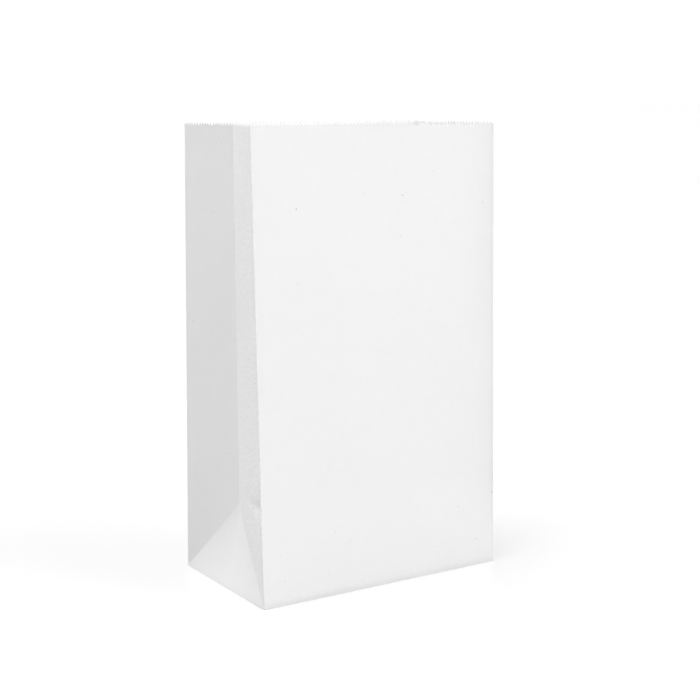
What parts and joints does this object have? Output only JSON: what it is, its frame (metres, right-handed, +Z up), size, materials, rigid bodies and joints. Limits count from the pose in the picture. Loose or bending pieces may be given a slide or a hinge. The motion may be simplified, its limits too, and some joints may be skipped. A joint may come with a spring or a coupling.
{
  "type": "prescription bag",
  "caption": "Small white paper bag, standing open, with a flat folded bottom, tucked side gussets and a saw-toothed mouth.",
  "frame": {"origin": "middle of the bottom, on the surface that the bag stands on", "axes": "+Z up to the mouth, +X along the front panel, -Y out of the front panel"},
  "size_m": [0.1524, 0.0889, 0.2516],
  "materials": {
    "paper": "matt uncoated white kraft"
  },
  "bodies": {
    "root": {"bag": "paper"}
  },
  "joints": []
}
